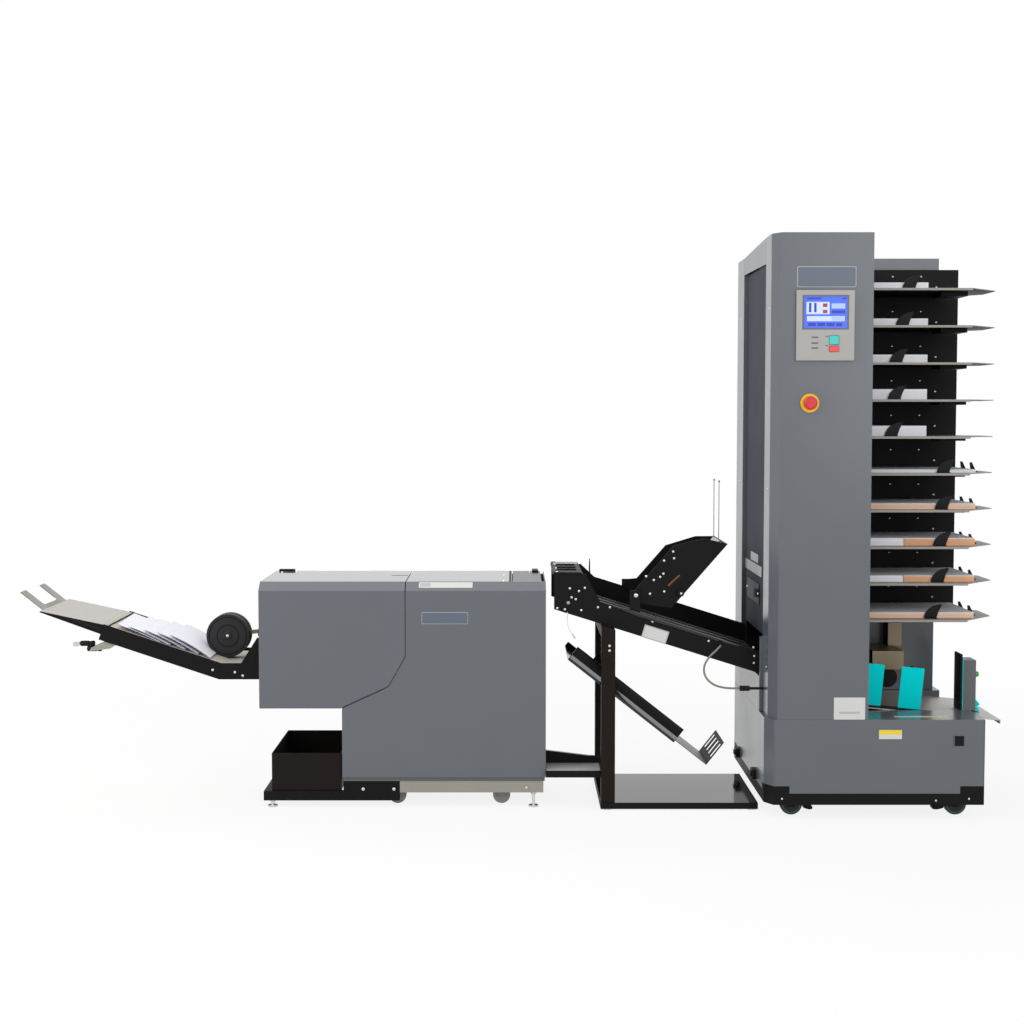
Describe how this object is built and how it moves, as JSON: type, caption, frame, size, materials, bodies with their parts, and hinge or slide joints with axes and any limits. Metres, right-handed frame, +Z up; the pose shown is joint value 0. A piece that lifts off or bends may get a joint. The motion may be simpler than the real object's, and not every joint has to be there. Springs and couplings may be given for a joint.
{
  "type": "booklet maker",
  "caption": "Floor-standing booklet-making line: a bin collator tower feeds a bridge conveyor and a stitching, folding and trimming unit with a belt delivery.",
  "frame": {"origin": "centre of the line's bounding box, on the floor it stands on", "axes": "+X along the line from the booklet delivery towards the collator tower, +Y from the operator's side to the rear, +Z up"},
  "size_m": [3.383, 0.7894, 1.944],
  "materials": {
    "grey_paint": "semi-gloss powder coat",
    "dark_grey_paint": "semi-gloss powder coat",
    "black_paint": "satin powder coat",
    "light_grey_paint": "smooth powder coat",
    "cream_paint": "smooth powder coat",
    "bare_steel": "brushed",
    "aluminium_sheet": "satin anodised",
    "roller_rubber": "ground",
    "belt_fabric": "coated belt",
    "black_belt": "matt belt",
    "wheel_rubber": "moulded",
    "black_plastic": "moulded",
    "cable_sheath": "extruded",
    "bezel_plastic": "moulded",
    "teal_paint": "gloss powder coat",
    "start_plastic": "moulded",
    "red_plastic": "moulded",
    "yellow_plastic": "moulded",
    "screen_glass": "lit display behind glass",
    "paper_stock": "uncoated"
  },
  "bodies": {
    "line_frame": {"maker_panels": "dark_grey_paint", "maker_frame": "bare_steel", "bin_rack": "black_paint", "under_frame": "cream_paint", "levelling_feet": "bare_steel", "caster_forks": "black_paint", "delivery_frame": "black_paint", "delivery_belt": "belt_fabric", "bridge_channel": "black_paint", "bridge_belts": "black_belt", "stand_post": "black_paint", "stand_base": "dark_grey_paint", "reject_tray": "black_paint", "bridge_cable": "cable_sheath", "cable_fittings": "black_plastic", "base_skirt": "black_paint", "base_cabinet": "grey_paint", "front_cover": "grey_paint", "rear_cover": "grey_paint", "tower_header": "light_grey_paint", "chassis": "black_paint", "transport_panel": "dark_grey_paint", "transport_belts": "black_belt", "feed_trays": "light_grey_paint", "suction_drums": "black_plastic", "paper": "paper_stock", "deck_table": "aluminium_sheet", "suction_blower": "dark_grey_paint", "control_bezel": "bezel_plastic", "touch_screen": "screen_glass", "estop_collar": "yellow_plastic"},
    "left_hood": {"left_hood": "grey_paint"},
    "right_hood": {"right_hood": "grey_paint"},
    "stitch_heads": {"stitch_heads": "bare_steel"},
    "fold_knife": {"fold_knife": "bare_steel"},
    "upper_fold_roller": {"upper_fold_roller": "roller_rubber"},
    "lower_fold_roller": {"lower_fold_roller": "roller_rubber"},
    "trim_blade": {"trim_blade": "bare_steel"},
    "waste_bin": {"waste_bin": "black_paint"},
    "maker_left_wheels": {"maker_left_wheels": "wheel_rubber"},
    "maker_right_wheels": {"maker_right_wheels": "wheel_rubber"},
    "tower_left_wheels": {"tower_left_wheels": "wheel_rubber"},
    "tower_right_wheels": {"tower_right_wheels": "wheel_rubber"},
    "delivery_roller": {"delivery_roller": "bare_steel"},
    "delivery_extension": {"delivery_extension": "cream_paint"},
    "press_arm": {"press_arm": "bare_steel"},
    "press_wheels": {"press_wheels": "roller_rubber"},
    "bridge_drive_roller": {"bridge_drive_roller": "bare_steel"},
    "cover_hopper": {"cover_hopper": "black_paint"},
    "hopper_wires": {"hopper_wires": "bare_steel"},
    "reject_slide": {"reject_slide": "aluminium_sheet"},
    "power_rocker": {"power_rocker": "black_plastic"},
    "transport_roller": {"transport_roller": "bare_steel"},
    "bin_side_guides": {"bin_side_guides": "black_plastic"},
    "bin_end_guides": {"bin_end_guides": "black_plastic"},
    "deck_side_guides": {"deck_side_guides": "teal_paint"},
    "deck_end_stop": {"deck_end_stop": "dark_grey_paint"},
    "start_button": {"start_button": "start_plastic"},
    "stop_button": {"stop_button": "red_plastic"},
    "estop_button": {"estop_button": "red_plastic"}
  },
  "joints": [
    {"name": "left_hood_lift", "type": "hinge", "parent": "line_frame", "child": "left_hood", "pos_m": [-0.60239, 0.22865, 0.77], "axis": [-1, 0, 0], "range_deg": [0, 75]},
    {"name": "right_hood_lift", "type": "hinge", "parent": "line_frame", "child": "right_hood", "pos_m": [-0.15239, 0.22865, 0.77], "axis": [-1, 0, 0], "range_deg": [0, 75]},
    {"name": "stitch_stroke", "type": "slide", "parent": "line_frame", "child": "stitch_heads", "axis": [0, 0, -1], "range_m": [0, 0.016]},
    {"name": "fold_knife_stroke", "type": "slide", "parent": "line_frame", "child": "fold_knife", "axis": [-1, 0, 0], "range_m": [0, 0.04]},
    {"name": "lower_fold_spin", "type": "hinge", "parent": "line_frame", "child": "lower_fold_roller", "pos_m": [-0.38239, 0.01465, 0.495], "axis": [0, 1, 0], "continuous": true},
    {"name": "upper_fold_spin", "type": "hinge", "parent": "line_frame", "child": "upper_fold_roller", "pos_m": [-0.38239, 0.01465, 0.547], "axis": [0, 1, 0], "continuous": true},
    {"name": "trim_stroke", "type": "slide", "parent": "line_frame", "child": "trim_blade", "axis": [0, 0, -1], "range_m": [0, 0.06]},
    {"name": "waste_bin_pull", "type": "slide", "parent": "line_frame", "child": "waste_bin", "axis": [0, -1, 0], "range_m": [0, 0.42]},
    {"name": "maker_left_wheel_roll", "type": "hinge", "parent": "line_frame", "child": "maker_left_wheels", "pos_m": [-0.38339, 0.01465, 0.0305], "axis": [0, 1, 0], "continuous": true},
    {"name": "maker_right_wheel_roll", "type": "hinge", "parent": "line_frame", "child": "maker_right_wheels", "pos_m": [-0.02239, 0.01465, 0.0305], "axis": [0, 1, 0], "continuous": true},
    {"name": "tower_left_wheel_roll", "type": "hinge", "parent": "line_frame", "child": "tower_left_wheels", "pos_m": [0.95561, 0.01465, 0.0375], "axis": [0, 1, 0], "continuous": true},
    {"name": "tower_right_wheel_roll", "type": "hinge", "parent": "line_frame", "child": "tower_right_wheels", "pos_m": [1.50961, 0.01465, 0.0375], "axis": [0, 1, 0], "continuous": true},
    {"name": "delivery_spin", "type": "hinge", "parent": "line_frame", "child": "delivery_roller", "pos_m": [-1.37757, 0.01465, 0.60169], "axis": [0, 1, 0], "continuous": true},
    {"name": "delivery_extend", "type": "slide", "parent": "line_frame", "child": "delivery_extension", "axis": [-0.9483, 0, 0.3173], "range_m": [0, 0.09]},
    {"name": "press_arm_lift", "type": "hinge", "parent": "line_frame", "child": "press_arm", "pos_m": [-0.86839, 0.01465, 0.58274], "axis": [0, 1, 0], "range_deg": [0, 30]},
    {"name": "press_wheel_spin", "type": "hinge", "parent": "press_arm", "child": "press_wheels", "pos_m": [-0.99039, 0.01465, 0.56873], "axis": [0, 1, 0], "continuous": true},
    {"name": "bridge_spin", "type": "hinge", "parent": "line_frame", "child": "bridge_drive_roller", "pos_m": [0.20623, 0.01465, 0.70563], "axis": [0, 1, 0], "continuous": true},
    {"name": "hopper_tilt", "type": "hinge", "parent": "line_frame", "child": "cover_hopper", "pos_m": [0.43461, 0.01465, 0.729], "axis": [0, -1, 0], "range_deg": [0, 28]},
    {"name": "hopper_wire_set", "type": "slide", "parent": "cover_hopper", "child": "hopper_wires", "axis": [0.6561, 0, 0.7547], "range_m": [-0.12, 0]},
    {"name": "reject_extend", "type": "slide", "parent": "line_frame", "child": "reject_slide", "axis": [0.7859, 0, -0.6184], "range_m": [-0.1, 0]},
    {"name": "power_switch", "type": "hinge", "parent": "line_frame", "child": "power_rocker", "pos_m": [1.50361, -0.35735, 0.263], "axis": [1, 0, 0], "range_deg": [-16, 0]},
    {"name": "transport_spin", "type": "hinge", "parent": "line_frame", "child": "transport_roller", "pos_m": [0.95761, 0.01465, 0.545], "axis": [0, 1, 0], "continuous": true},
    {"name": "bin_side_set", "type": "slide", "parent": "line_frame", "child": "bin_side_guides", "axis": [0, -1, 0], "range_m": [0, 0.024]},
    {"name": "bin_end_set", "type": "slide", "parent": "line_frame", "child": "bin_end_guides", "axis": [1, 0, 0], "range_m": [0, 0.04]},
    {"name": "deck_side_set", "type": "slide", "parent": "line_frame", "child": "deck_side_guides", "axis": [0, 1, 0], "range_m": [0, 0.1]},
    {"name": "deck_end_set", "type": "slide", "parent": "line_frame", "child": "deck_end_stop", "axis": [0.9956, 0, -0.0941], "range_m": [-0.11, 0.03]},
    {"name": "start_press", "type": "slide", "parent": "line_frame", "child": "start_button", "axis": [0, 1, 0], "range_m": [0, 0.002], "stiffness_N_per_m": 900},
    {"name": "stop_press", "type": "slide", "parent": "line_frame", "child": "stop_button", "axis": [0, 1, 0], "range_m": [0, 0.002], "stiffness_N_per_m": 900},
    {"name": "estop_press", "type": "slide", "parent": "line_frame", "child": "estop_button", "axis": [0, 1, 0], "range_m": [0, 0.006]}
  ],
  "couplings": [
    {"joint": "upper_fold_spin", "follows": "lower_fold_spin", "ratio": -1}
  ]
}
